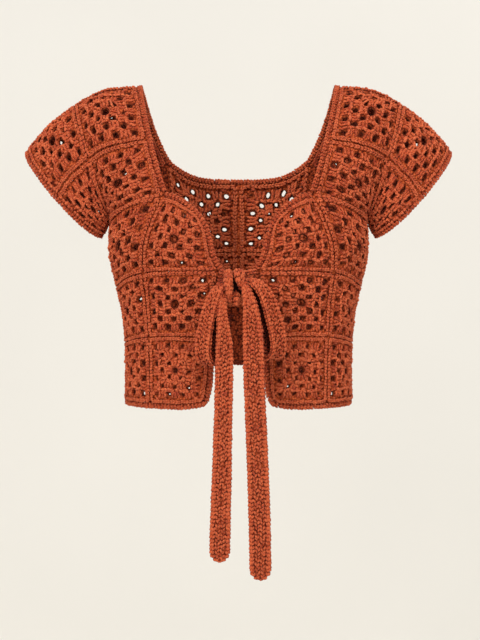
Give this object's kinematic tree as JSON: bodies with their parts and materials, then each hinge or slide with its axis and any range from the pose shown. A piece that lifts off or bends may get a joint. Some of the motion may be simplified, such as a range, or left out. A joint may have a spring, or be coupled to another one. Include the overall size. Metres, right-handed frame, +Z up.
{
  "type": "crochet top",
  "caption": "Cropped open-front crochet top of granny squares with cap sleeves, tied at the bust with a crochet bow.",
  "frame": {"origin": "on the middle plane of the body, at the height of the inner ends of the shoulders, where the wearer's shoulders hold the garment up", "axes": "+X towards the wearer's left, +Y towards the wearer's back, +Z up"},
  "size_m": [0.534, 0.2169, 0.595],
  "materials": {
    "rust_cotton_yarn": "matt"
  },
  "bodies": {
    "root": {"back_l_centre_3": "rust_cotton_yarn", "back_l_centre_4": "rust_cotton_yarn", "back_l_centre_5": "rust_cotton_yarn", "back_l_shoulder_1": "rust_cotton_yarn", "back_l_shoulder_2": "rust_cotton_yarn", "back_l_side_3": "rust_cotton_yarn", "back_l_side_4": "rust_cotton_yarn", "back_l_side_5": "rust_cotton_yarn", "back_l_sleeve_1": "rust_cotton_yarn", "back_l_sleeve_2": "rust_cotton_yarn", "back_r_centre_3": "rust_cotton_yarn", "back_r_centre_4": "rust_cotton_yarn", "back_r_centre_5": "rust_cotton_yarn", "back_r_shoulder_1": "rust_cotton_yarn", "back_r_shoulder_2": "rust_cotton_yarn", "back_r_side_3": "rust_cotton_yarn", "back_r_side_4": "rust_cotton_yarn", "back_r_side_5": "rust_cotton_yarn", "back_r_sleeve_1": "rust_cotton_yarn", "back_r_sleeve_2": "rust_cotton_yarn", "bust_edging_l": "rust_cotton_yarn", "bust_edging_r": "rust_cotton_yarn", "front_hem_edging_l": "rust_cotton_yarn", "front_hem_edging_r": "rust_cotton_yarn", "front_l_centre_3": "rust_cotton_yarn", "front_l_centre_4": "rust_cotton_yarn", "front_l_centre_5": "rust_cotton_yarn", "front_l_shoulder_1": "rust_cotton_yarn", "front_l_shoulder_2": "rust_cotton_yarn", "front_l_side_3": "rust_cotton_yarn", "front_l_side_4": "rust_cotton_yarn", "front_l_side_5": "rust_cotton_yarn", "front_l_sleeve_1": "rust_cotton_yarn", "front_l_sleeve_2": "rust_cotton_yarn", "front_r_centre_3": "rust_cotton_yarn", "front_r_centre_4": "rust_cotton_yarn", "front_r_centre_5": "rust_cotton_yarn", "front_r_shoulder_1": "rust_cotton_yarn", "front_r_shoulder_2": "rust_cotton_yarn", "front_r_side_3": "rust_cotton_yarn", "front_r_side_4": "rust_cotton_yarn", "front_r_side_5": "rust_cotton_yarn", "front_r_sleeve_1": "rust_cotton_yarn", "front_r_sleeve_2": "rust_cotton_yarn", "hem_edging_back": "rust_cotton_yarn", "neck_edging_back": "rust_cotton_yarn", "neck_edging_front_l": "rust_cotton_yarn", "neck_edging_front_r": "rust_cotton_yarn", "sleeve_edging_back_l": "rust_cotton_yarn", "sleeve_edging_back_r": "rust_cotton_yarn", "sleeve_edging_front_l": "rust_cotton_yarn", "sleeve_edging_front_r": "rust_cotton_yarn", "tie_end_l": "rust_cotton_yarn", "tie_end_r": "rust_cotton_yarn", "tie_knot": "rust_cotton_yarn", "tie_loop_l": "rust_cotton_yarn", "tie_loop_r": "rust_cotton_yarn", "tie_root_l": "rust_cotton_yarn", "tie_root_r": "rust_cotton_yarn"}
  },
  "joints": []
}
